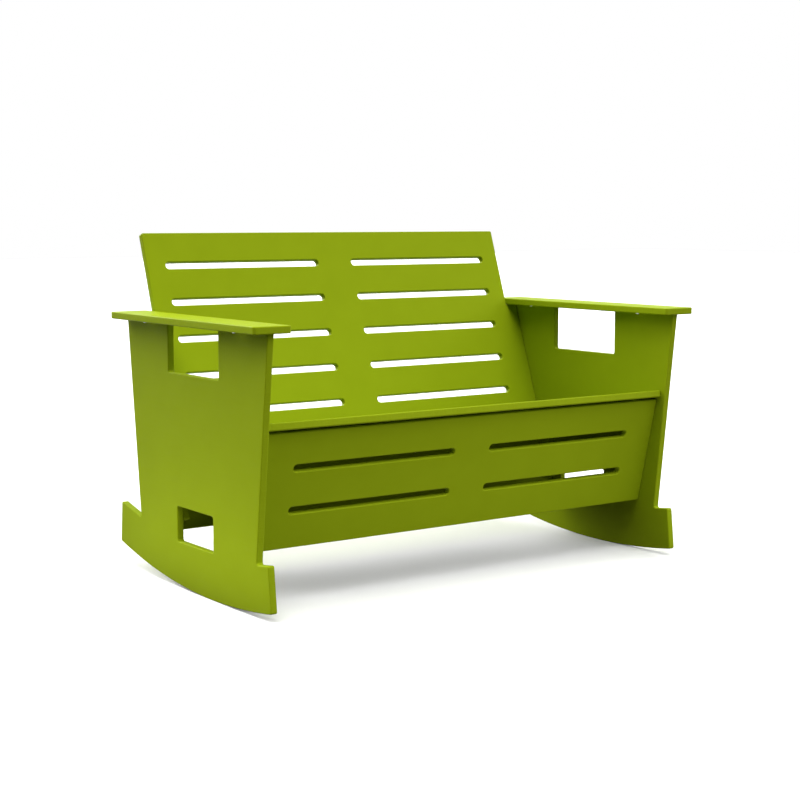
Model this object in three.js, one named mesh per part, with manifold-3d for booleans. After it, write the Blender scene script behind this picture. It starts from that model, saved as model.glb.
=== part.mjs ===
// Rocking bench for two, made from one thickness of plastic board held by hidden cleats and steel screws.
// Millimetres, +Z up, the front of the bench faces -Y, the origin is on the floor under its middle.
// Sizes along the bench's depth are measured from the line where the rockers touch the floor.

import * as THREE from "three";
import { mergeVertices } from "three/addons/utils/BufferGeometryUtils.js";
import Module from "manifold-3d";

const wasm = await Module();
wasm.setup();

// Board stock and fits
const boardThickness = 18;
const edgeRound = 3;
const outerCorner = 5;
const cutterRadius = 6;
const fitGap = 0.3;
const boardEndGap = 0.5;
const cutOverrun = 2;
const weldTolerance = 0.0003;

// Steps that stand for the curves
const roundOverSteps = 2;
const cornerSteps = 3;
const slotEndSteps = 8;
const rockerStep = THREE.MathUtils.degToRad(1);
const screwSides = 8;
const studSides = 12;

// Rockers, as the lower edge of the side panels
const benchWidth = 1270;
const rockerRadius = 1904;
const frontTipReach = 279;
const rearTipReach = 491;
const frontFootHeight = 111.5;
const rearFootHeight = 109;
const frontTipSetBack = 11.5;
const rearTipSetBack = 8.5;

// Side panels
const armrestUnderside = 655.5;
const panelTopFront = -275;
const panelTopRear = 427.5;
const panelWaistFront = -216;
const panelWaistRear = 370;
const handHoldFront = -48.5;
const handHoldLength = 254;
const handHoldDepth = 121.5;
const windowFront = -12.5;
const windowLength = 181.5;
const windowSill = 116;
const windowHeight = 88;

// Armrests
const armrestFront = -288.5;
const armrestLength = 725.5;
const armrestOverhang = 43;
const armrestWidth = 99;
const armrestCorner = 7;

// Back
const backLean = THREE.MathUtils.degToRad(19.1);
const backTopHeight = 873;
const backTopDepth = 454;
const underboardHeight = 138;
const neckClearance = 0.5;
const shoulderClearance = 1;

// Seat and apron
const seatSlope = THREE.MathUtils.degToRad(10);
const seatFrontHeight = 432;
const seatFrontDepth = -238;
const apronLean = THREE.MathUtils.degToRad(13.2);
const apronFootDepth = -155;

// Slots, in two columns with plain board between them twice as wide as at their outer ends
const slotWidth = 18.5;
const slotColumnGap = 109.5;
const backSlotRows = 5;
const backTopMargin = 89.5;
const backSlotPitch = 99.3;
const apronSlotRows = 2;
const apronFirstSlotShare = 0.327;
const apronSlotPitchShare = 0.363;

// Cleats, strips of the same board on edge
const cleatWidth = 40;
const cleatEndGap = 3;
const cleatFootMargin = 18;
const upperCleatStart = 272;
const upperCleatLength = 172;
const sideScrewInsetShare = 0.12;
const boardScrewInsetShare = 0.28;

// Steel plates between the side panels and the armrests
const plateThickness = 3;
const plateLength = 34;
const plateWidth = 76;
const plateCorner = 5;
const plateScrewSpread = 28;
const frontPlateDepth = -160;
const rearPlateDepth = 288;
const studRadius = 4;
const studLength = 30;

// Screws
const shankRadius = 2.5;
const headRadius = 5;
const headHeight = 3.5;
const headRim = 1.2;
const headCrownShare = 0.6;
const screwTip = 4;
const panelBite = 13;
const boardBite = 15;
const armrestBite = 9;
const seatBite = 30;
const seatScrewSpread = 300;

// Worked out from the sizes above
const innerFace = benchWidth / 2 - boardThickness;
const crossBoardHalf = innerFace - boardEndGap;
const panelTop = armrestUnderside - fitGap;
const armrestInnerEdge = benchWidth / 2 + armrestOverhang - armrestWidth;
const neckHalf = armrestInnerEdge - neckClearance;
const slotLength = neckHalf - slotColumnGap;
const backFootDepth = backTopDepth - (backTopHeight - underboardHeight) * Math.tan(backLean);
const backLength = (backTopHeight - underboardHeight) / Math.cos(backLean);
const cleatNear = boardThickness + fitGap;
const cleatFar = cleatNear + cleatWidth;

const sides = [
  { name: "left", sign: -1 },
  { name: "right", sign: 1 },
];

// Finishes
function limeBoard() {
  return new THREE.MeshStandardMaterial({ color: 0x93a722, roughness: 0.55, metalness: 0 });
}

function stainlessSteel() {
  return new THREE.MeshStandardMaterial({ color: 0xb9bcbe, roughness: 0.35, metalness: 1 });
}

// Turns a shape drawn across its thickness so that it stands on edge: X to Y, Y to Z and Z to X
function standOnEdge(object) {
  object.rotation.set(Math.PI / 2, 0, Math.PI / 2, "ZYX");
  return object;
}

function mesh(name, geometry, material) {
  const piece = new THREE.Mesh(geometry, material);
  piece.name = name;
  return piece;
}

// Closed solid from a geometry, and back
function solid(geometry) {
  const bare = geometry.clone();
  bare.deleteAttribute("normal");
  bare.deleteAttribute("uv");
  const merged = mergeVertices(bare, weldTolerance);
  const corners = merged.index.array;
  const triangles = [];
  for (let i = 0; i < corners.length; i += 3) {
    const [a, b, c] = corners.slice(i, i + 3);
    if (a !== b && b !== c && c !== a) triangles.push(a, b, c);
  }
  return new wasm.Manifold(new wasm.Mesh({
    numProp: 3,
    vertProperties: Float32Array.from(merged.attributes.position.array),
    triVerts: Uint32Array.from(triangles),
  }));
}

function surface(body) {
  const { vertProperties, triVerts } = body.getMesh();
  const geometry = new THREE.BufferGeometry();
  geometry.setAttribute("position", new THREE.BufferAttribute(Float32Array.from(vertProperties), 3));
  geometry.setIndex(new THREE.BufferAttribute(Uint32Array.from(triVerts), 1));
  geometry.computeVertexNormals();
  return geometry;
}

// Outline with rounded corners, from a list of [x, y, radius]
function roundedOutline(corners) {
  return corners.flatMap(([x, y, radius], i) => {
    const at = new THREE.Vector2(x, y);
    if (!radius) return [at];
    const before = new THREE.Vector2(...corners.at(i - 1)).sub(at).normalize();
    const after = new THREE.Vector2(...corners[(i + 1) % corners.length]).sub(at).normalize();
    const half = Math.acos(before.dot(after)) / 2;
    const toCentre = before.clone().add(after).normalize();
    const centre = toCentre.multiplyScalar(radius / Math.sin(half)).add(at);
    const start = before.clone().multiplyScalar(radius / Math.tan(half)).add(at);
    const turn = -Math.sign(before.cross(after)) * (Math.PI - 2 * half);
    const arc = [];
    for (let k = 0; k <= cornerSteps; k += 1) {
      arc.push(start.clone().rotateAround(centre, (turn * k) / cornerSteps));
    }
    return arc;
  });
}

function rectangle(x0, y0, x1, y1, radius) {
  return roundedOutline([
    [x0, y0, radius],
    [x1, y0, radius],
    [x1, y1, radius],
    [x0, y1, radius],
  ]);
}

// Slot with half-round ends, lying along X
function slotOutline(centreX, centreY) {
  const radius = slotWidth / 2;
  const straight = slotLength / 2 - radius;
  const points = [];
  for (const end of [1, -1]) {
    for (let k = 0; k <= slotEndSteps; k += 1) {
      const angle = Math.PI * (k / slotEndSteps - 1 / 2);
      const x = centreX + end * (straight + radius * Math.cos(angle));
      const y = centreY + end * radius * Math.sin(angle);
      points.push(new THREE.Vector2(x, y));
    }
  }
  return points;
}

function slotColumns(rows, firstRow, pitch) {
  const slots = [];
  for (let row = 0; row < rows; row += 1) {
    for (const side of sides) {
      const centreX = (side.sign * (slotColumnGap + slotLength)) / 2;
      slots.push(slotOutline(centreX, firstRow + row * pitch));
    }
  }
  return slots;
}

// Board cut to an outline in X and Y, with its edges rounded over, from Z = 0 up to its thickness
function board(outline, holes = []) {
  const shape = new THREE.Shape(outline);
  shape.holes = holes.map((points) => new THREE.Path(points));
  const geometry = new THREE.ExtrudeGeometry(shape, {
    depth: boardThickness - 2 * edgeRound,
    bevelThickness: edgeRound,
    bevelSize: edgeRound,
    bevelOffset: -edgeRound,
    bevelSegments: roundOverSteps,
    steps: 1,
  });
  return geometry.translate(0, 0, edgeRound);
}

// Cylinder along Z
function rod(radius, from, to, count) {
  const geometry = new THREE.CylinderGeometry(radius, radius, to - from, count);
  return geometry.rotateX(Math.PI / 2).translate(0, 0, (from + to) / 2);
}

// Takes a tool's shape, standing where a placed object stands, out of a piece
function carve(piece, tool, placedLike) {
  const place = piece.matrixWorld.clone().invert().multiply(placedLike.matrixWorld);
  const cutter = solid(tool.clone().applyMatrix4(place));
  piece.geometry = surface(solid(piece.geometry).subtract(cutter));
}

// Height of the rocker's curve above the floor, at a distance from where it touches
function rockerRise(depth) {
  return rockerRadius - Math.sqrt(rockerRadius ** 2 - depth ** 2);
}

// Rocker's curve from the rear tip to the front tip, with one flat step where it touches the floor
function rockerCurve() {
  const rearAngle = Math.asin(rearTipReach / rockerRadius);
  const frontAngle = -Math.asin(frontTipReach / rockerRadius);
  const points = [];
  const lastStep = Math.floor(rearAngle / rockerStep - 1 / 2);
  for (let angle = (lastStep + 1 / 2) * rockerStep; angle > frontAngle; angle -= rockerStep) {
    points.push([rockerRadius * Math.sin(angle), rockerRadius * (1 - Math.cos(angle)), 0]);
  }
  return points;
}

function sidePanel() {
  const handHoldRear = handHoldFront + handHoldLength;
  const handHoldFloor = panelTop - handHoldDepth;
  const rearTipTop = rearTipReach - rearTipSetBack;
  const frontTipTop = -frontTipReach + frontTipSetBack;
  const outline = roundedOutline([
    [panelTopFront, panelTop, 0],
    [handHoldFront, panelTop, 0],
    [handHoldFront, handHoldFloor, cutterRadius],
    [handHoldRear, handHoldFloor, cutterRadius],
    [handHoldRear, panelTop, 0],
    [panelTopRear, panelTop, 0],
    [panelWaistRear, rockerRise(panelWaistRear) + rearFootHeight, cutterRadius],
    [rearTipTop, rockerRise(rearTipTop) + rearFootHeight, outerCorner],
    [rearTipReach, rockerRise(rearTipReach), outerCorner],
    ...rockerCurve(),
    [-frontTipReach, rockerRise(frontTipReach), outerCorner],
    [frontTipTop, rockerRise(frontTipTop) + frontFootHeight, outerCorner],
    [panelWaistFront, rockerRise(panelWaistFront) + frontFootHeight, cutterRadius],
  ]);
  const windowRear = windowFront + windowLength;
  const windowTop = windowSill + windowHeight;
  return board(outline, [rectangle(windowFront, windowSill, windowRear, windowTop, cutterRadius)]);
}

function armrest() {
  const armrestRear = armrestFront + armrestLength;
  return board(rectangle(-armrestWidth / 2, armrestFront, armrestWidth / 2, armrestRear, armrestCorner));
}

// Back, drawn from its lower edge up: wide between the side panels and narrow between the armrests
function backBoard() {
  const shoulder = (armrestUnderside - shoulderClearance - underboardHeight) / Math.cos(backLean);
  const outline = roundedOutline([
    [-crossBoardHalf, 0, outerCorner],
    [crossBoardHalf, 0, outerCorner],
    [crossBoardHalf, shoulder, outerCorner],
    [neckHalf, shoulder, cutterRadius],
    [neckHalf, backLength, outerCorner],
    [-neckHalf, backLength, outerCorner],
    [-neckHalf, shoulder, cutterRadius],
    [-crossBoardHalf, shoulder, outerCorner],
  ]);
  return board(outline, slotColumns(backSlotRows, backLength - backTopMargin, -backSlotPitch));
}

// Side view of the sloping boards: unit directions and corners as (depth, height)
function direction(angle) {
  return new THREE.Vector2(Math.cos(angle), Math.sin(angle));
}

function from(point, ...moves) {
  return moves.reduce((sum, [along, distance]) => sum.addScaledVector(along, distance), point.clone());
}

// How far a point can go along a direction until it comes within a clearance of a plane
function reach(start, along, plane, clearance) {
  const toPlane = plane.point.clone().sub(start).dot(plane.towards);
  return (toPlane - clearance) / along.dot(plane.towards);
}

const backUp = direction(Math.PI / 2 - backLean);
const backForward = direction(Math.PI - backLean);
const apronUp = direction(Math.PI / 2 + apronLean);
const apronForward = direction(Math.PI + apronLean);
const seatBackward = direction(-seatSlope);
const seatUp = direction(Math.PI / 2 - seatSlope);

const backFoot = new THREE.Vector2(backFootDepth, underboardHeight);
const apronFoot = new THREE.Vector2(apronFootDepth, underboardHeight);
const seatFoot = new THREE.Vector2(seatFrontDepth, seatFrontHeight);
const seatFront = from(seatFoot, [seatUp, boardThickness]);

// Planes that the boards and cleats stop at
const seatUnderside = { point: seatFoot, towards: seatUp };
const backFace = { point: backFoot, towards: backForward.clone().negate() };
const backCleatFace = { point: from(backFoot, [backForward, fitGap + cleatWidth]), towards: backFace.towards };
const apronCleatFace = { point: from(apronFoot, [apronForward, -cleatFar]), towards: apronForward };

// The seat's lower rear edge and the apron's upper rear edge are rounded, and touch with the round
const seatRearRound = from(seatFoot, [seatUp, edgeRound]);
const seatDepth = reach(seatRearRound, seatBackward, backFace, fitGap + edgeRound) + edgeRound;
const apronRearRound = from(apronFoot, [apronForward, edgeRound - boardThickness]);
const apronHeight = reach(apronRearRound, apronUp, seatUnderside, fitGap + edgeRound) + edgeRound;

const apronCleatCorner = from(apronFoot, [apronForward, -cleatFar]);
const apronCleatTop = reach(apronCleatCorner, apronUp, seatUnderside, cleatEndGap);
const backCleatCorner = from(backFoot, [backForward, fitGap + cleatWidth]);
const backCleatTop = reach(backCleatCorner, backUp, seatUnderside, cleatEndGap);
const seatCleatCorner = from(seatFront, [seatUp, -cleatFar]);
const seatCleatStart = reach(seatCleatCorner, seatBackward, apronCleatFace, cleatEndGap);
const seatCleatEnd = reach(seatCleatCorner, seatBackward, backCleatFace, cleatEndGap);

function apronBoard() {
  const firstSlot = apronHeight * apronFirstSlotShare;
  const slots = slotColumns(apronSlotRows, firstSlot, apronHeight * apronSlotPitchShare);
  return board(rectangle(-crossBoardHalf, 0, crossBoardHalf, apronHeight, outerCorner), slots);
}

function seatBoard() {
  return board(rectangle(-crossBoardHalf, 0, crossBoardHalf, seatDepth, outerCorner));
}

// Pan-head screw along Z, with the underside of its head at Z = 0
function screwGeometry(length) {
  const profile = [
    [0, -headHeight],
    [headRadius * headCrownShare, -headHeight],
    [headRadius, -headRim],
    [headRadius, 0],
    [shankRadius, 0],
    [shankRadius, length - screwTip],
    [0, length],
  ];
  const points = profile.map(([radius, height]) => new THREE.Vector2(radius, height));
  return new THREE.LatheGeometry(points, screwSides).rotateX(Math.PI / 2);
}

// Screw whose head seats on a surface at a point, driven along a direction, and the pieces that it holds
const drilledBy = [];

function screw(parent, name, at, towards, length, pieces) {
  const piece = mesh(name, surface(solid(screwGeometry(length))), stainlessSteel());
  piece.quaternion.setFromUnitVectors(new THREE.Vector3(0, 0, 1), towards);
  piece.position.copy(at).addScaledVector(towards, -fitGap);
  parent.add(piece);
  drilledBy.push({ piece, length, pieces });
}

// Frames of the three sloping boards: X across, Y along the board and Z out of its show face
function boardFrame(corner, tilt) {
  const frame = new THREE.Group();
  frame.position.set(0, corner.x, corner.y);
  frame.rotation.x = tilt;
  return frame;
}

const bench = new THREE.Group();
const backFrame = boardFrame(backFoot, Math.PI / 2 - backLean);
const apronFrame = boardFrame(apronFoot, Math.PI / 2 + apronLean);
const seatFrame = boardFrame(seatFront, -seatSlope);
bench.add(backFrame, apronFrame, seatFrame);

function addBoard(frame, name, geometry) {
  const piece = mesh(name, geometry.translate(0, 0, -boardThickness), limeBoard());
  frame.add(piece);
  return piece;
}

const backPanel = addBoard(backFrame, "back_panel", backBoard());
const frontApron = addBoard(apronFrame, "front_apron", apronBoard());
const seat = addBoard(seatFrame, "seat_board", seatBoard());

// Cleat on edge against a side panel, between two places along a board's frame.
// It lies before or behind the board, and its screws go into the side panel and into the board.
function cleat(frame, side, sidePiece, boardPiece, spec) {
  const length = spec.to - spec.from;
  const geometry = board(rectangle(0, 0, length, cleatWidth, outerCorner));
  const piece = standOnEdge(mesh(`${spec.name}_${side.name}`, geometry, limeBoard()));
  const nearFace = spec.before ? fitGap : -cleatFar;
  const outward = new THREE.Vector3(side.sign, 0, 0);
  const panelFace = side.sign * (innerFace - fitGap);
  const openFace = panelFace - side.sign * boardThickness;
  piece.position.set(Math.min(panelFace, openFace), spec.from, nearFace);
  frame.add(piece);

  const middle = nearFace + cleatWidth / 2;
  spec.sideScrews.forEach((place, i) => {
    const at = new THREE.Vector3(openFace, place, middle);
    const name = `${spec.name}_${side.name}_side_screw_${i + 1}`;
    screw(frame, name, at, outward, boardThickness + fitGap + panelBite, [piece, sidePiece]);
  });
  const drive = new THREE.Vector3(0, 0, spec.before ? -1 : 1);
  const headFace = spec.before ? nearFace + cleatWidth : nearFace;
  spec.boardScrews.forEach((place, i) => {
    const at = new THREE.Vector3((panelFace + openFace) / 2, place, headFace);
    const name = `${spec.name}_${side.name}_board_screw_${i + 1}`;
    screw(frame, name, at, drive, cleatWidth + fitGap + boardBite, [piece, boardPiece]);
  });
}

function twoPlaces(start, end, insetShare) {
  return [insetShare, 1 - insetShare].map((share) => THREE.MathUtils.lerp(start, end, share));
}

// Side panels, armrests and what holds the armrests down
for (const side of sides) {
  const panel = standOnEdge(mesh(`side_panel_${side.name}`, sidePanel(), limeBoard()));
  panel.position.x = side.sign < 0 ? -benchWidth / 2 : innerFace;
  bench.add(panel);
  side.panel = panel;

  const rest = mesh(`armrest_${side.name}`, armrest(), limeBoard());
  rest.position.set(side.sign * (armrestInnerEdge + armrestWidth / 2), 0, armrestUnderside);
  bench.add(rest);
  side.armrest = rest;
}

// Plate with a stud that screws down into the side panel's top edge; its flat underside is at Z = 0
function studPlateGeometry() {
  const outline = rectangle(-plateWidth / 2, -plateLength / 2, plateWidth / 2, plateLength / 2, plateCorner);
  const plate = new THREE.ExtrudeGeometry(new THREE.Shape(outline), {
    depth: plateThickness,
    bevelEnabled: false,
  });
  const stud = rod(studRadius, -studLength, plateThickness / 2, studSides);
  return surface(solid(plate).add(solid(stud)));
}

const studHole = rod(studRadius + fitGap, -studLength - fitGap, plateThickness, studSides);
const pocketOutline = rectangle(
  -plateWidth / 2 - fitGap,
  -plateLength / 2 - fitGap,
  plateWidth / 2 + fitGap,
  plateLength / 2 + fitGap,
  plateCorner + fitGap,
);
const platePocket = new THREE.ExtrudeGeometry(new THREE.Shape(pocketOutline), {
  depth: plateThickness + fitGap + cutOverrun,
  bevelEnabled: false,
}).translate(0, 0, -cutOverrun);

const studPlates = [];
for (const side of sides) {
  const places = [
    { name: "front", depth: frontPlateDepth },
    { name: "rear", depth: rearPlateDepth },
  ];
  for (const place of places) {
    const name = `stud_plate_${place.name}_${side.name}`;
    const plate = mesh(name, studPlateGeometry(), stainlessSteel());
    const panelMiddle = side.sign * (benchWidth / 2 - boardThickness / 2);
    plate.position.set(panelMiddle, place.depth, armrestUnderside);
    bench.add(plate);
    studPlates.push({ plate, side });
    for (const reachSide of [{ name: "outer", sign: side.sign }, { name: "inner", sign: -side.sign }]) {
      const at = new THREE.Vector3(plateScrewSpread * reachSide.sign, 0, 0);
      const screwName = `armrest_screw_${place.name}_${side.name}_${reachSide.name}`;
      const up = new THREE.Vector3(0, 0, 1);
      screw(plate, screwName, at, up, plateThickness + fitGap + armrestBite, [plate, side.armrest]);
    }
  }
}

// Cleats and their screws
for (const side of sides) {
  cleat(apronFrame, side, side.panel, frontApron, {
    name: "apron_cleat",
    before: false,
    from: cleatFootMargin,
    to: apronCleatTop,
    sideScrews: twoPlaces(cleatFootMargin, apronCleatTop, sideScrewInsetShare),
    boardScrews: twoPlaces(cleatFootMargin, apronCleatTop, boardScrewInsetShare),
  });
  cleat(backFrame, side, side.panel, backPanel, {
    name: "lower_back_cleat",
    before: true,
    from: cleatFootMargin,
    to: backCleatTop,
    sideScrews: twoPlaces(cleatFootMargin, backCleatTop, sideScrewInsetShare),
    boardScrews: twoPlaces(cleatFootMargin, backCleatTop, boardScrewInsetShare),
  });
  const upperCleatEnd = upperCleatStart + upperCleatLength;
  cleat(backFrame, side, side.panel, backPanel, {
    name: "upper_back_cleat",
    before: false,
    from: upperCleatStart,
    to: upperCleatEnd,
    sideScrews: twoPlaces(upperCleatStart, upperCleatEnd, sideScrewInsetShare),
    boardScrews: twoPlaces(upperCleatStart, upperCleatEnd, boardScrewInsetShare),
  });
  cleat(seatFrame, side, side.panel, seat, {
    name: "seat_cleat",
    before: false,
    from: seatCleatStart,
    to: seatCleatEnd,
    sideScrews: twoPlaces(seatCleatStart, seatCleatEnd, sideScrewInsetShare),
    boardScrews: [(seatCleatStart + seatCleatEnd) / 2],
  });
}

// Screws from behind the back into the seat's rear edge
const seatMiddle = from(seatFront, [seatUp, -boardThickness / 2]);
const seatMeetsBack = from(seatMiddle, [seatBackward, reach(seatMiddle, seatBackward, backFace, 0)]);
const seatScrewHeight = seatMeetsBack.clone().sub(backFoot).dot(backUp);
for (const side of sides) {
  const at = new THREE.Vector3(side.sign * seatScrewSpread, seatScrewHeight, -boardThickness);
  const forward = new THREE.Vector3(0, 0, 1);
  screw(backFrame, `seat_rear_screw_${side.name}`, at, forward, boardThickness + seatBite, [backPanel, seat]);
}

// Pockets, stud holes and screw holes
bench.updateMatrixWorld(true);
for (const { plate, side } of studPlates) {
  carve(side.armrest, platePocket, plate);
  carve(side.panel, studHole, plate);
}
for (const { piece, length, pieces } of drilledBy) {
  const hole = rod(shankRadius + fitGap, -fitGap, length + fitGap, screwSides);
  for (const held of pieces) carve(held, hole, piece);
}

// Stands the bench on the floor, over the middle of its own depth
const extent = new THREE.Box3().setFromObject(bench, true);
bench.position.y = -(extent.min.y + extent.max.y) / 2;
bench.position.z = -extent.min.z;

export default bench;
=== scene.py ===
"""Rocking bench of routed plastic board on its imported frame, lit softly on a pale studio floor.

Metres, +Z up, the front of the bench faces -Y and the origin is on the floor under its middle.
"""
import math

import bmesh
import bpy
from mathutils import Matrix, Vector


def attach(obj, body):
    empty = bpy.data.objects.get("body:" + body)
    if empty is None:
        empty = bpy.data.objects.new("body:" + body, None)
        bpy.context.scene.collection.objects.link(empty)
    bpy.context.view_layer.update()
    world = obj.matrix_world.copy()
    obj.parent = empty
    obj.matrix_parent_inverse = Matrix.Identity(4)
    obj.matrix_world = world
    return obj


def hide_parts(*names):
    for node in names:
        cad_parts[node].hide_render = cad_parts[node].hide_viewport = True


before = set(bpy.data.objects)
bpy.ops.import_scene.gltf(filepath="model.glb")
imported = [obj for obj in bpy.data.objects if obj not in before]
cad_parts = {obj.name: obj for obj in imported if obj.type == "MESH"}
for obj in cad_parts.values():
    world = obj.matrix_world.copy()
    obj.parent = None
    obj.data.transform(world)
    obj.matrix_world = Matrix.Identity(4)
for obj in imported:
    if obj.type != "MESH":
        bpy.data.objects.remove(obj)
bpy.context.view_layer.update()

MM = 0.001

# The photograph's camera
CAMERA_PLACE = (-2.4322, -3.4126, 0.9087)
CAMERA_TURN = math.radians(-35.39)
CAMERA_DIP = math.radians(6.489)
SENSOR_WIDTH = 36.0
LENS = 71.655

# The studio's broad soft lights: azimuth from the front and height in degrees, and strength
SUN_SPREAD = math.radians(40)
STUDIO_LIGHTS = (
    (-45, 70, 1.5),
    (-90, 70, 0.42),
    (-135, 45, 1.3),
    (90, 45, 0.72),
    (-135, 22, 0.98),
    (180, 20, 2.7),
    (135, 18, 0.21),
    (90, 20, 1.42),
    (45, 18, 0.48),
    (0, 45, 1.35),
)
# Glow of the lit floor to the left of the bench and in front of it: middle, size and watts
FLOOR_GLOWS = (
    ((-0.85, -0.05), (0.2, 0.8), 0.95),
    ((0.0, -0.58), (1.1, 0.3), 0.8),
    ((0.35, -0.75), (0.6, 0.4), 0.5),
)
GLOW_HEIGHT = 10 * MM
DOME_STRENGTH = 0.01
SHADOW_LIFT = 0.08
BOUNCE_REACH = 2.2
BOUNCE_GREY = "#595959"
BOUNCE_FULL_SHARE = 0.6
FLOOR_HALF = 30

# Plastic: pigment clouds, streaks along the roll, orange peel, the cutter's marks and a very low sheen
CLOUD_SIZE = 90 * MM
STREAK_LENGTH = 160 * MM
STREAK_NARROWING = 24
PEEL_SIZE = 1.6 * MM
PEEL_DEPTH = 0.06 * MM
PEEL_STRENGTH = 0.25
MARK_SIZE = 2.5 * MM
MARK_DEPTH = 0.05 * MM
MARK_STRENGTH = 0.2
NOISE_LOW = 0.3
NOISE_HIGH = 0.7
SHEET_ROUGHNESS = (0.44, 0.54)
EDGE_ROUGHNESS = 0.45
PLASTIC_SHEEN = {"IOR": 1.51, "Specular IOR Level": 0.018}

# Steel
GRAIN_SIZE = 0.8 * MM
STEEL_ROUGHNESS = (0.22, 0.36)

# Routed boards
EDGE_ROUND = 3 * MM
OUTER_CORNER = 5 * MM
CUTTER_RADIUS = 6 * MM
ARMREST_CORNER = 7 * MM
ROUND_STEPS = 5
CORNER_STEPS = 6
WELD = 0.01 * MM
SHARP = math.radians(50)
BACK_LEAN = math.radians(19.1)
SEAT_SLOPE = math.radians(10)
APRON_LEAN = math.radians(13.2)

# Side panels; their rockers touch the floor at this depth, and the other depths are measured from it
ROCKER_TOUCH = -101.084 * MM
ROCKER_RADIUS = 1904 * MM
ROCKER_STEPS = 48
FRONT_TIP = -279 * MM
REAR_TIP = 491 * MM
FRONT_FOOT = (-267.5 * MM, 111.5 * MM)
REAR_FOOT = (482.5 * MM, 109 * MM)
FRONT_WAIST = (-216 * MM, 111.5 * MM)
REAR_WAIST = (370 * MM, 109 * MM)
PANEL_TOP = 655.2 * MM
PANEL_TOP_FRONT = -275 * MM
PANEL_TOP_REAR = 427.5 * MM
HAND_HOLD = (-48.5 * MM, 205.5 * MM)
HAND_HOLD_FLOOR = 533.7 * MM
WINDOW = (-12.5 * MM, 116 * MM, 169 * MM, 204 * MM)

# Back and apron
NECK_HALF = 578.5 * MM
SHOULDER_RISE = 546.6 * MM
SLOT_MIDDLE = 289.25 * MM
SLOT_LENGTH = 469 * MM
SLOT_WIDTH = 18.5 * MM
BACK_SLOT_ROWS = 5
BACK_TOP_MARGIN = 89.5 * MM
BACK_SLOT_PITCH = 99.3 * MM
APRON_SLOT_SHARES = (0.327, 0.69)

# Steel plates in the armrests' undersides
PLATE_CORNER = 5 * MM
PLATE_ROUND = 0.6 * MM
PLATE_ROUND_STEPS = 2
PLATE_THICKNESS = 3 * MM
POCKET_ROOM = 0.3 * MM
POCKET_DEPTH = 3.3 * MM
PLATE_HOLE_SPREAD = 28 * MM
PLATE_HOLE_RADIUS = 2.8 * MM
STUD_CORE = 3.4 * MM
STUD_RADIUS = 4 * MM
STUD_PITCH = 1.25 * MM
STUD_POINT = 1.5 * MM

# Screws: pan heads with a star recess, and a coarse thread
HEAD_PROFILE = ((2.9, -3.5), (3.7, -3.3), (4.4, -2.8), (4.85, -2.0), (5.0, -1.2), (5.0, -0.25), (4.8, 0.0))
SHANK_CORE = 1.6 * MM
SHANK_RADIUS = 2.5 * MM
SCREW_PITCH = 2.2 * MM
SCREW_POINT = 5 * MM
RECESS_RADIUS = 2.3 * MM
RECESS_WAIST_SHARE = 0.72
RECESS_LOBES = 6
RECESS_DEPTH = 1.8 * MM
HEAD_HEIGHT = 3.5 * MM
TURN_STEPS = 24
THREAD_STEPS = 14
THREAD_ROOT = 0.1 * MM
THREAD_FLANK_SHARE = 0.4

# Turns the board's own axes, with Z out of its show face, into the bench's
ON_EDGE = Matrix(((0, 0, 1), (1, 0, 0), (0, 1, 0)))
FLAT = Matrix.Identity(3)
BACK_TILT = Matrix.Rotation(math.pi / 2 - BACK_LEAN, 3, "X")
APRON_TILT = Matrix.Rotation(math.pi / 2 + APRON_LEAN, 3, "X")
SEAT_TILT = Matrix.Rotation(-SEAT_SLOPE, 3, "X")


# Materials
def linear(hex_colour):
    """An sRGB hex colour as linear RGBA."""
    channels = [int(hex_colour[i:i + 2], 16) / 255 for i in (1, 3, 5)]
    flat = [c / 12.92 if c <= 0.04045 else ((c + 0.055) / 1.055) ** 2.4 for c in channels]
    return (*flat, 1.0)


def add(tree, kind, settings=None, values=None, links=None):
    """Adds a node with its settings, its sockets' values and the links into its sockets."""
    node = tree.nodes.new(kind)
    for name, value in (settings or {}).items():
        setattr(node, name, value)
    for socket, value in (values or {}).items():
        node.inputs[socket].default_value = value
    for socket, source in (links or {}).items():
        tree.links.new(source, node.inputs[socket])
    return node


def new_material(name):
    material = bpy.data.materials.new(name)
    material.use_nodes = True
    material.node_tree.nodes.clear()
    return material, material.node_tree


def pigment(tree, pattern, darker, lighter):
    """Colour that drifts between two close greens with a noise pattern."""
    ramp = add(tree, "ShaderNodeValToRGB", links={"Fac": pattern.outputs["Fac"]})
    stops = ramp.color_ramp.elements
    stops[0].position, stops[0].color = NOISE_LOW, linear(darker)
    stops[1].position, stops[1].color = NOISE_HIGH, linear(lighter)
    return ramp.outputs["Color"]


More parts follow.
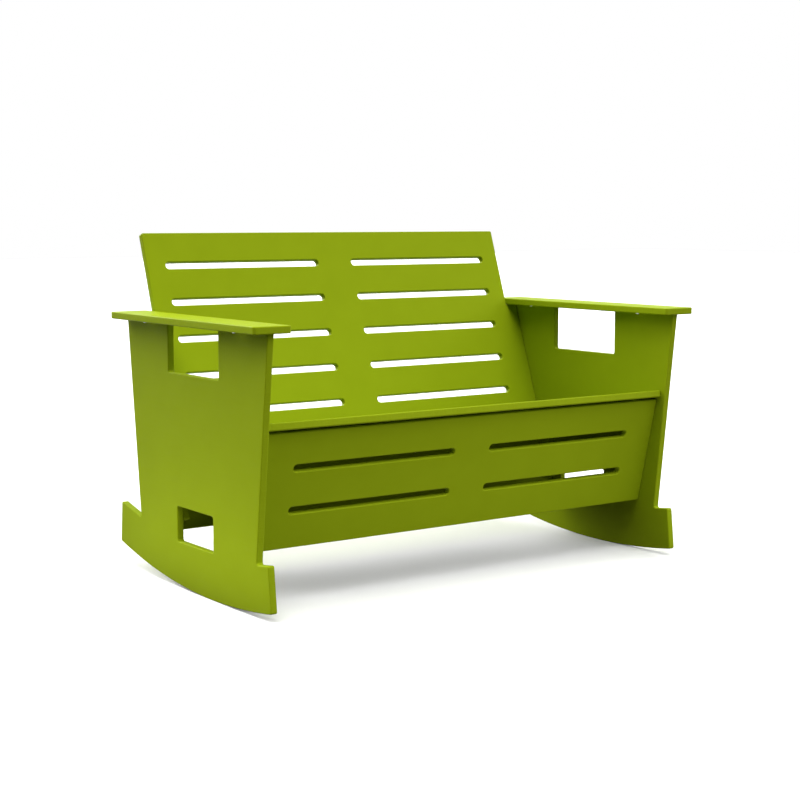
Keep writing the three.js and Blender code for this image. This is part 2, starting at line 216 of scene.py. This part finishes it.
def hdpe_sheet():
    """High-density polyethylene sheet, pigmented right through and rolled with a fine matt skin.

    The eye gets an even lime green, a soft broad sheen, faint streaks along the roll and a fine orange peel.
    """
    material, tree = new_material("lime_hdpe_sheet")
    uv = add(tree, "ShaderNodeUVMap", {"uv_map": "sheet"})
    cloudy = add(tree, "ShaderNodeTexNoise", values={"Scale": 1 / CLOUD_SIZE, "Detail": 3.0},
                 links={"Vector": uv.outputs["UV"]})
    rolled = add(tree, "ShaderNodeMapping", values={"Scale": (1, STREAK_NARROWING, 1)},
                 links={"Vector": uv.outputs["UV"]})
    streaks = add(tree, "ShaderNodeTexNoise", values={"Scale": 1 / STREAK_LENGTH, "Detail": 4.0},
                  links={"Vector": rolled.outputs["Vector"]})
    smooth, rough = SHEET_ROUGHNESS
    streaky = add(tree, "ShaderNodeMapRange",
                  values={"From Min": NOISE_LOW, "From Max": NOISE_HIGH, "To Min": smooth, "To Max": rough},
                  links={"Value": streaks.outputs["Fac"]})
    peel = add(tree, "ShaderNodeTexNoise", values={"Scale": 1 / PEEL_SIZE, "Detail": 1.0},
               links={"Vector": uv.outputs["UV"]})
    bump = add(tree, "ShaderNodeBump", values={"Strength": PEEL_STRENGTH, "Distance": PEEL_DEPTH},
               links={"Height": peel.outputs["Fac"]})
    skin = add(tree, "ShaderNodeBsdfPrincipled", values=PLASTIC_SHEEN,
               links={"Base Color": pigment(tree, cloudy, "#8C9F10", "#8FA212"),
                      "Roughness": streaky.outputs["Result"], "Normal": bump.outputs["Normal"]})
    add(tree, "ShaderNodeOutputMaterial", links={"Surface": skin.outputs["BSDF"]})
    return material


def hdpe_routed_edge():
    """The same sheet where a router has rounded its edges and cut its slots.

    The eye gets a smoother surface with faint, uneven marks of the cutter. Its slightly paler green is
    partly painted highlight, standing in for the light that the rounded edges and rims catch.
    """
    material, tree = new_material("lime_hdpe_routed_edge")
    uv = add(tree, "ShaderNodeUVMap", {"uv_map": "sheet"})
    marks = add(tree, "ShaderNodeTexNoise", values={"Scale": 1 / MARK_SIZE, "Detail": 2.0},
                links={"Vector": uv.outputs["UV"]})
    bump = add(tree, "ShaderNodeBump", values={"Strength": MARK_STRENGTH, "Distance": MARK_DEPTH},
               links={"Height": marks.outputs["Fac"]})
    edge = add(tree, "ShaderNodeBsdfPrincipled", values={**PLASTIC_SHEEN, "Roughness": EDGE_ROUGHNESS},
               # The paler second green is partly painted highlight for the light caught by the rounded edges
               links={"Base Color": pigment(tree, marks, "#8C9F10", "#91A416"),
                      "Normal": bump.outputs["Normal"]})
    add(tree, "ShaderNodeOutputMaterial", links={"Surface": edge.outputs["BSDF"]})
    return material


def stainless():
    """Bright stainless steel, cold headed and rolled; the eye gets a fine uneven grain in its shine."""
    material, tree = new_material("stainless_steel")
    place = add(tree, "ShaderNodeTexCoord")
    grain = add(tree, "ShaderNodeTexNoise", values={"Scale": 1 / GRAIN_SIZE, "Detail": 2.0},
                links={"Vector": place.outputs["Object"]})
    smooth, rough = STEEL_ROUGHNESS
    uneven = add(tree, "ShaderNodeMapRange", values={"To Min": smooth, "To Max": rough},
                 links={"Value": grain.outputs["Fac"]})
    metal = add(tree, "ShaderNodeBsdfPrincipled",
                values={"Base Color": linear("#C9CBCC"), "Metallic": 1.0},
                links={"Roughness": uneven.outputs["Result"]})
    add(tree, "ShaderNodeOutputMaterial", links={"Surface": metal.outputs["BSDF"]})
    return material


SHEET = hdpe_sheet()
ROUTED = hdpe_routed_edge()
STEEL = stainless()


# Flat sheet, cut to an outline and rounded over
def extent(node, turn):
    """Lowest and highest corner of a CAD piece, measured along a board's own axes."""
    own = [turn.transposed() @ vert.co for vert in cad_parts[node].data.vertices]
    low = Vector([min(place[axis] for place in own) for axis in range(3)])
    high = Vector([max(place[axis] for place in own) for axis in range(3)])
    return low, high


def rounded_face(bm, verts, radii):
    """Flat face with its corners cut to their radii."""
    bm.faces.new(verts)
    for vert, radius in zip(verts, radii):
        if radius:
            half = vert.link_loops[0].calc_angle() / 2
            bmesh.ops.bevel(bm, geom=[vert], offset=radius / math.tan(half), offset_type="OFFSET",
                            segments=CORNER_STEPS, profile=0.5, affect="VERTICES", clamp_overlap=False,
                            material=-1, loop_slide=False)


def outline(bm, corners, level=0.0):
    """Face through corners given as (x, y, radius)."""
    verts = [bm.verts.new((x, y, level)) for x, y, radius in corners]
    rounded_face(bm, verts, [radius for x, y, radius in corners])


def rectangle(low_x, low_y, high_x, high_y, radius):
    return (low_x, low_y, radius), (high_x, low_y, radius), (high_x, high_y, radius), (low_x, high_y, radius)


def slot(middle_x, middle_y):
    """Slot with half-round ends, along X."""
    half_length, radius = SLOT_LENGTH / 2, SLOT_WIDTH / 2
    return rectangle(middle_x - half_length, middle_y - radius,
                     middle_x + half_length, middle_y + radius, radius)


def bare_loops(bm, faces):
    """Takes faces away and leaves their edges."""
    verts = list({vert for face in faces for vert in face.verts})
    bmesh.ops.delete(bm, geom=faces, context="FACES_ONLY")
    bmesh.ops.remove_doubles(bm, verts=verts, dist=WELD)
    return [edge for edge in bm.edges if edge.is_wire]


def round_over(bm, faces, radius, steps):
    """Rounds a flat side's rim over, as a router bit does."""
    for step in range(steps):
        start, end = (math.pi / 2 * k / steps for k in (step, step + 1))
        bmesh.ops.inset_region(bm, faces=faces, use_boundary=True, use_even_offset=True,
                               thickness=radius * (math.cos(start) - math.cos(end)),
                               depth=radius * (math.sin(end) - math.sin(start)))


def cut_sheet(bm, low, high, radius, steps):
    """Turns the drawn outline and its holes into a solid sheet; returns the upper and the lower side."""
    loops = bare_loops(bm, bm.faces[:])
    bmesh.ops.triangle_fill(bm, edges=loops, use_beauty=True, use_dissolve=False, normal=(0, 0, 1))
    upper = bm.faces[:]
    bmesh.ops.translate(bm, verts=bm.verts, vec=(0, 0, high - radius))
    copied = bmesh.ops.extrude_face_region(bm, geom=upper, use_keep_orig=True)["geom"]
    lower = [part for part in copied if isinstance(part, bmesh.types.BMFace)]
    moved = [part for part in copied if isinstance(part, bmesh.types.BMVert)]
    bmesh.ops.translate(bm, verts=moved, vec=(0, 0, low - high + 2 * radius))
    bmesh.ops.recalc_face_normals(bm, faces=bm.faces)
    round_over(bm, upper, radius, steps)
    round_over(bm, lower, radius, steps)
    return upper, lower


def sink(bm, flat_side, shapes, depth):
    """Sinks pockets into a flat side, which is filled in again round them; returns the new flat side."""
    level = flat_side[0].verts[0].co.z
    bmesh.ops.delete(bm, geom=flat_side, context="FACES")
    rim = [edge for edge in bm.edges if edge.is_boundary]
    others = set(bm.faces)
    for corners in shapes:
        outline(bm, corners, level)
    loops = bare_loops(bm, [face for face in bm.faces if face not in others])
    others = set(bm.faces)
    bmesh.ops.triangle_fill(bm, edges=rim + loops, use_beauty=True, use_dissolve=False, normal=(0, 0, 1))
    flat_side = [face for face in bm.faces if face not in others]
    walls = bmesh.ops.extrude_edge_only(bm, edges=loops)["geom"]
    bmesh.ops.translate(bm, verts=[part for part in walls if isinstance(part, bmesh.types.BMVert)],
                        vec=(0, 0, depth))
    bmesh.ops.holes_fill(bm, edges=[edge for edge in bm.edges if edge.is_boundary])
    bmesh.ops.recalc_face_normals(bm, faces=bm.faces)
    return flat_side


def piece(bm, name, node, materials):
    """Finished object that stands for a CAD node."""
    for edge in bm.edges:
        edge.smooth = edge.calc_face_angle(math.pi) < SHARP
    mesh = bpy.data.meshes.new(name)
    bm.to_mesh(mesh)
    bm.free()
    made = bpy.data.objects.new(name, mesh)
    bpy.context.collection.objects.link(made)
    for material in materials:
        mesh.materials.append(material)
    shading = made.modifiers.new("Even flat faces", "WEIGHTED_NORMAL")
    shading.keep_sharp = True
    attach(made, "root")
    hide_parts(node)
    return made


def routed_board(bm, name, node, turn, pockets=()):
    """Board from the outline drawn in its own plane; it lies where its CAD node lies."""
    low, high = extent(node, turn)
    upper, lower = cut_sheet(bm, low.z, high.z, EDGE_ROUND, ROUND_STEPS)
    if pockets:
        lower = sink(bm, lower, pockets, POCKET_DEPTH)
    flat_sides = set(upper + lower)
    sheet = bm.loops.layers.uv.new("sheet")
    for face in bm.faces:
        face.smooth = True
        face.material_index = 0 if face in flat_sides else 1
        for loop in face.loops:
            loop[sheet].uv = loop.vert.co.xy
    bm.transform(turn.to_4x4())
    return piece(bm, name, node, (SHEET, ROUTED))


def plain_board(name, node, turn, radius, slots=(), pockets=()):
    """Rectangular board, cut out of its CAD node's own length and width."""
    low, high = extent(node, turn)
    bm = bmesh.new()
    for corners in (rectangle(low.x, low.y, high.x, high.y, radius), *slots):
        outline(bm, corners)
    return routed_board(bm, name, node, turn, pockets)


# Boards
def rocker_height(depth):
    """Height of the rocker's curve at a distance from where it touches the floor."""
    return ROCKER_RADIUS - math.sqrt(ROCKER_RADIUS ** 2 - depth ** 2)


def side_panel(side):
    """Side with its rocker edge, hand-hold notch and window, drawn in depth and height."""
    bm = bmesh.new()
    tip = bm.verts.new((ROCKER_TOUCH + REAR_TIP, rocker_height(REAR_TIP), 0))
    sweep = math.asin(REAR_TIP / ROCKER_RADIUS) - math.asin(FRONT_TIP / ROCKER_RADIUS)
    bmesh.ops.spin(bm, geom=[tip], cent=(ROCKER_TOUCH, ROCKER_RADIUS, 0), axis=(0, 0, 1), dvec=(0, 0, 0),
                   angle=-sweep, steps=ROCKER_STEPS, use_merge=False, use_normal_flip=False,
                   use_duplicate=False)
    rocker = list(bm.verts)
    corners = (
        (FRONT_FOOT[0], rocker_height(FRONT_FOOT[0]) + FRONT_FOOT[1], OUTER_CORNER),
        (FRONT_WAIST[0], rocker_height(FRONT_WAIST[0]) + FRONT_WAIST[1], CUTTER_RADIUS),
        (PANEL_TOP_FRONT, PANEL_TOP, 0),
        (HAND_HOLD[0], PANEL_TOP, 0),
        (HAND_HOLD[0], HAND_HOLD_FLOOR, CUTTER_RADIUS),
        (HAND_HOLD[1], HAND_HOLD_FLOOR, CUTTER_RADIUS),
        (HAND_HOLD[1], PANEL_TOP, 0),
        (PANEL_TOP_REAR, PANEL_TOP, 0),
        (REAR_WAIST[0], rocker_height(REAR_WAIST[0]) + REAR_WAIST[1], CUTTER_RADIUS),
        (REAR_FOOT[0], rocker_height(REAR_FOOT[0]) + REAR_FOOT[1], OUTER_CORNER),
    )
    rest = [bm.verts.new((ROCKER_TOUCH + depth, height, 0)) for depth, height, radius in corners]
    tips = [OUTER_CORNER] + [0] * (len(rocker) - 2) + [OUTER_CORNER]
    rounded_face(bm, rocker + rest, tips + [radius for depth, height, radius in corners])
    front, sill, rear, head = WINDOW
    outline(bm, rectangle(ROCKER_TOUCH + front, sill, ROCKER_TOUCH + rear, head, CUTTER_RADIUS))
    return routed_board(bm, f"side_{side}", f"side_panel_{side}", ON_EDGE)


def back():
    """Back, wide between the side panels and narrow between the armrests, with two columns of slots."""
    low, high = extent("back_panel", BACK_TILT)
    shoulder = low.y + SHOULDER_RISE
    top = high.y - EDGE_ROUND * (1 - math.cos(BACK_LEAN))
    bm = bmesh.new()
    outline(bm, (
        (low.x, low.y, OUTER_CORNER),
        (high.x, low.y, OUTER_CORNER),
        (high.x, shoulder, OUTER_CORNER),
        (NECK_HALF, shoulder, CUTTER_RADIUS),
        (NECK_HALF, top, OUTER_CORNER),
        (-NECK_HALF, top, OUTER_CORNER),
        (-NECK_HALF, shoulder, CUTTER_RADIUS),
        (low.x, shoulder, OUTER_CORNER),
    ))
    for row in range(BACK_SLOT_ROWS):
        for middle in (-SLOT_MIDDLE, SLOT_MIDDLE):
            outline(bm, slot(middle, high.y - BACK_TOP_MARGIN - row * BACK_SLOT_PITCH))
    return routed_board(bm, "back", "back_panel", BACK_TILT)


def apron():
    low, high = extent("front_apron", APRON_TILT)
    rows = [low.y + share * (high.y - low.y) for share in APRON_SLOT_SHARES]
    slots = [slot(middle, row) for row in rows for middle in (-SLOT_MIDDLE, SLOT_MIDDLE)]
    return plain_board("apron", "front_apron", APRON_TILT, OUTER_CORNER, slots)


def armrest(side):
    """Armrest with a pocket underneath for each of its two plates."""
    pockets = []
    for place in ("front", "rear"):
        low, high = extent(f"stud_plate_{place}_{side}", FLAT)
        pockets.append(rectangle(low.x - POCKET_ROOM, low.y - POCKET_ROOM, high.x + POCKET_ROOM,
                                 high.y + POCKET_ROOM, PLATE_CORNER + POCKET_ROOM))
    return plain_board(f"arm_{side}", f"armrest_{side}", FLAT, ARMREST_CORNER, pockets=pockets)


back()
apron()
plain_board("seat", "seat_board", SEAT_TILT, OUTER_CORNER)
for side in ("left", "right"):
    side_panel(side)
    armrest(side)
    for strip, turn in (("apron_cleat", APRON_TILT), ("seat_cleat", SEAT_TILT),
                        ("lower_back_cleat", BACK_TILT), ("upper_back_cleat", BACK_TILT)):
        plain_board(f"strip_{strip}_{side}", f"{strip}_{side}", turn @ ON_EDGE, OUTER_CORNER)


# Steel
def turned(bm, profile):
    """Surface of revolution about Z through (radius, height) pairs."""
    verts = [bm.verts.new((radius, 0, height)) for radius, height in profile]
    edges = [bm.edges.new(pair) for pair in zip(verts, verts[1:])]
    bmesh.ops.spin(bm, geom=verts + edges, cent=(0, 0, 0), axis=(0, 0, 1), dvec=(0, 0, 0), angle=math.tau,
                   steps=TURN_STEPS, use_merge=True, use_normal_flip=False, use_duplicate=False)
    bmesh.ops.remove_doubles(bm, verts=bm.verts, dist=WELD)


def thread(bm, core, crest, pitch, start, end):
    """Helical ridge round a core, as its own closed strip."""
    turns = (end - start) / pitch - 1
    steps = round(turns * THREAD_STEPS)
    root, half = core - THREAD_ROOT, pitch * THREAD_FLANK_SHARE
    ridge = ((root, start), (crest, start + half), (root, start + 2 * half))
    verts = [bm.verts.new((radius, 0, height)) for radius, height in ridge]
    edges = [bm.edges.new((verts[k - 1], verts[k])) for k in range(3)]
    bm.faces.new(verts)
    swept = bmesh.ops.spin(bm, geom=edges, cent=(0, 0, 0), axis=(0, 0, 1), dvec=(0, 0, turns * pitch / steps),
                           angle=turns * math.tau, steps=steps, use_merge=False, use_normal_flip=False,
                           use_duplicate=False)
    bm.faces.new([part for part in swept["geom_last"] if isinstance(part, bmesh.types.BMVert)])


def star_recess(bm):
    """Star-shaped drive recess sunk into a screw's head, where its turned surface is still open."""
    rim = [edge for edge in bm.edges if edge.is_boundary]
    star = bmesh.ops.create_circle(bm, segments=2 * RECESS_LOBES, radius=RECESS_RADIUS,
                                   matrix=Matrix.Translation((0, 0, -HEAD_HEIGHT)))["verts"]
    for vert in star[::2]:
        vert.co.xy *= RECESS_WAIST_SHARE
    loop = list({edge for vert in star for edge in vert.link_edges})
    bmesh.ops.triangle_fill(bm, edges=rim + loop, use_beauty=True, use_dissolve=False, normal=(0, 0, -1))
    walls = bmesh.ops.extrude_edge_only(bm, edges=loop)["geom"]
    bmesh.ops.translate(bm, verts=[part for part in walls if isinstance(part, bmesh.types.BMVert)],
                        vec=(0, 0, RECESS_DEPTH))
    bmesh.ops.holes_fill(bm, edges=[edge for edge in bm.edges if edge.is_boundary])


def screw(node):
    """Pan-head screw with its head and its tip where the CAD screw has them."""
    verts = [vert.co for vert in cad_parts[node].data.vertices]
    middle = sum(verts, Vector()) / len(verts)
    tip = max(verts, key=lambda place: (place - middle).length)
    far = max((place - tip).length for place in verts)
    crown = [place for place in verts if (place - tip).length > far - WELD]
    top = sum(crown, Vector()) / len(crown)
    along = (tip - top).normalized()
    length = (tip - top).length - HEAD_HEIGHT
    bm = bmesh.new()
    neck = ((SHANK_CORE, 0), (SHANK_CORE, length - SCREW_POINT), (0, length))
    turned(bm, tuple((radius * MM, height * MM) for radius, height in HEAD_PROFILE) + neck)
    star_recess(bm)
    thread(bm, SHANK_CORE, SHANK_RADIUS, SCREW_PITCH, SCREW_PITCH, length - SCREW_POINT)
    bmesh.ops.recalc_face_normals(bm, faces=bm.faces)
    for face in bm.faces:
        face.smooth = True
    place = Matrix.Translation(top + along * HEAD_HEIGHT) @ along.to_track_quat("Z", "Y").to_matrix().to_4x4()
    bm.transform(place)
    piece(bm, f"fine_{node}", node, (STEEL,))


def stud_plate(node):
    """Plate with two screw holes and a threaded stud under it."""
    low, high = extent(node, FLAT)
    middle = (low + high) / 2
    bm = bmesh.new()
    outline(bm, rectangle(low.x, low.y, high.x, high.y, PLATE_CORNER))
    for spread in (-PLATE_HOLE_SPREAD, PLATE_HOLE_SPREAD):
        bmesh.ops.create_circle(bm, cap_ends=True, segments=TURN_STEPS, radius=PLATE_HOLE_RADIUS,
                                matrix=Matrix.Translation((middle.x + spread, middle.y, 0)))
    cut_sheet(bm, high.z - PLATE_THICKNESS, high.z, PLATE_ROUND, PLATE_ROUND_STEPS)
    stud = bmesh.new()
    root = high.z - PLATE_THICKNESS / 2
    turned(stud, ((0, root), (STUD_CORE, root), (STUD_CORE, low.z + STUD_POINT),
                  (STUD_CORE - STUD_POINT, low.z), (0, low.z)))
    thread(stud, STUD_CORE, STUD_RADIUS, STUD_PITCH, low.z + STUD_POINT, root - PLATE_THICKNESS / 2)
    bmesh.ops.recalc_face_normals(stud, faces=stud.faces)
    bmesh.ops.translate(stud, verts=stud.verts, vec=(middle.x, middle.y, 0))
    rod = bpy.data.meshes.new("rod")
    stud.to_mesh(rod)
    stud.free()
    bm.from_mesh(rod)
    bpy.data.meshes.remove(rod)
    for face in bm.faces:
        face.smooth = True
    piece(bm, f"fine_{node}", node, (STEEL,))


for node in list(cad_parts):
    if "stud_plate" in node:
        stud_plate(node)
    elif "screw" in node:
        screw(node)


# Studio
def seen_or_mirrored(tree):
    """One for what the camera sees, straight or in a shine, and nothing for light on its way to the bench."""
    path = add(tree, "ShaderNodeLightPath")
    either = add(tree, "ShaderNodeMath", {"operation": "MAXIMUM"},
                 links={0: path.outputs["Is Camera Ray"], 1: path.outputs["Is Glossy Ray"]})
    return either.outputs["Value"]


def studio_floor():
    """Seamless studio floor: white with its shadow for the camera.

    The light that it throws back is a plain grey near the bench, which fades out with distance as the lit
    part of a floor does.
    """
    material, tree = new_material("studio_floor")
    place = add(tree, "ShaderNodeTexCoord")
    spread = add(tree, "ShaderNodeMapping", values={"Scale": (1 / BOUNCE_REACH, 1 / BOUNCE_REACH, 1)},
                 links={"Vector": place.outputs["Object"]})
    near = add(tree, "ShaderNodeTexGradient", {"gradient_type": "SPHERICAL"},
               links={"Vector": spread.outputs["Vector"]})
    fade = add(tree, "ShaderNodeValToRGB", links={"Fac": near.outputs["Fac"]})
    fade.color_ramp.elements[0].color = (0, 0, 0, 1)
    fade.color_ramp.elements[1].position = BOUNCE_FULL_SHARE
    fade.color_ramp.elements[1].color = linear(BOUNCE_GREY)
    grey = add(tree, "ShaderNodeBsdfDiffuse", links={"Color": fade.outputs["Color"]})
    white = add(tree, "ShaderNodeBsdfDiffuse", values={"Color": linear("#F4F4F4")})
    lift = add(tree, "ShaderNodeEmission", values={"Color": (1, 1, 1, 1), "Strength": SHADOW_LIFT})
    paper = add(tree, "ShaderNodeAddShader", links={0: white.outputs["BSDF"], 1: lift.outputs["Emission"]})
    seen = add(tree, "ShaderNodeMixShader",
               links={0: seen_or_mirrored(tree), 1: grey.outputs["BSDF"], 2: paper.outputs["Shader"]})
    add(tree, "ShaderNodeOutputMaterial", links={"Surface": seen.outputs["Shader"]})
    return material


bm = bmesh.new()
bmesh.ops.create_grid(bm, x_segments=1, y_segments=1, size=FLOOR_HALF)
floor_mesh = bpy.data.meshes.new("floor")
bm.to_mesh(floor_mesh)
bm.free()
floor = bpy.data.objects.new("floor", floor_mesh)
bpy.context.collection.objects.link(floor)
floor_mesh.materials.append(studio_floor())

world = bpy.data.worlds.new("studio")
bpy.context.scene.world = world
world.use_nodes = True
world.node_tree.nodes.clear()
white = add(world.node_tree, "ShaderNodeBackground", values={"Color": (1, 1, 1, 1), "Strength": 1.0})
dome = add(world.node_tree, "ShaderNodeBackground", values={"Color": (1, 1, 1, 1), "Strength": DOME_STRENGTH})
seen = add(world.node_tree, "ShaderNodeMixShader",
           links={0: seen_or_mirrored(world.node_tree), 1: dome.outputs["Background"],
                  2: white.outputs["Background"]})
add(world.node_tree, "ShaderNodeOutputWorld", links={"Surface": seen.outputs["Shader"]})


def soft_sun(azimuth, height, strength):
    """A far, broad lamp; azimuth 0 shines from in front of the bench and 90 from its right."""
    lamp = bpy.data.lights.new(f"soft_{azimuth}_{height}", "SUN")
    lamp.energy = strength
    lamp.angle = SUN_SPREAD
    turn, rise = math.radians(azimuth), math.radians(height)
    towards = Vector((math.sin(turn) * math.cos(rise), -math.cos(turn) * math.cos(rise), math.sin(rise)))
    sun = bpy.data.objects.new(lamp.name, lamp)
    sun.rotation_euler = (-towards).to_track_quat("-Z", "Y").to_euler()
    bpy.context.collection.objects.link(sun)


for azimuth, height, strength in STUDIO_LIGHTS:
    soft_sun(azimuth, height, strength)


def floor_glow(middle, size, watts):
    """Faint upward light from a patch of floor, which the camera doesn't see."""
    lamp = bpy.data.lights.new("floor_glow", "AREA")
    lamp.shape = "RECTANGLE"
    lamp.size, lamp.size_y = size
    lamp.energy = watts
    glow = bpy.data.objects.new("floor_glow", lamp)
    glow.location = (*middle, GLOW_HEIGHT)
    glow.rotation_euler = (math.pi, 0, 0)
    glow.visible_camera = False
    glow.visible_glossy = False
    bpy.context.collection.objects.link(glow)


for middle, size, watts in FLOOR_GLOWS:
    floor_glow(middle, size, watts)

camera_data = bpy.data.cameras.new("camera")
camera_data.sensor_width = SENSOR_WIDTH
camera_data.lens = LENS
camera = bpy.data.objects.new("camera", camera_data)
camera.location = CAMERA_PLACE
camera.rotation_euler = (math.pi / 2 - CAMERA_DIP, 0, CAMERA_TURN)
bpy.context.collection.objects.link(camera)
bpy.context.scene.camera = camera
bpy.context.scene.view_settings.view_transform = "Standard"
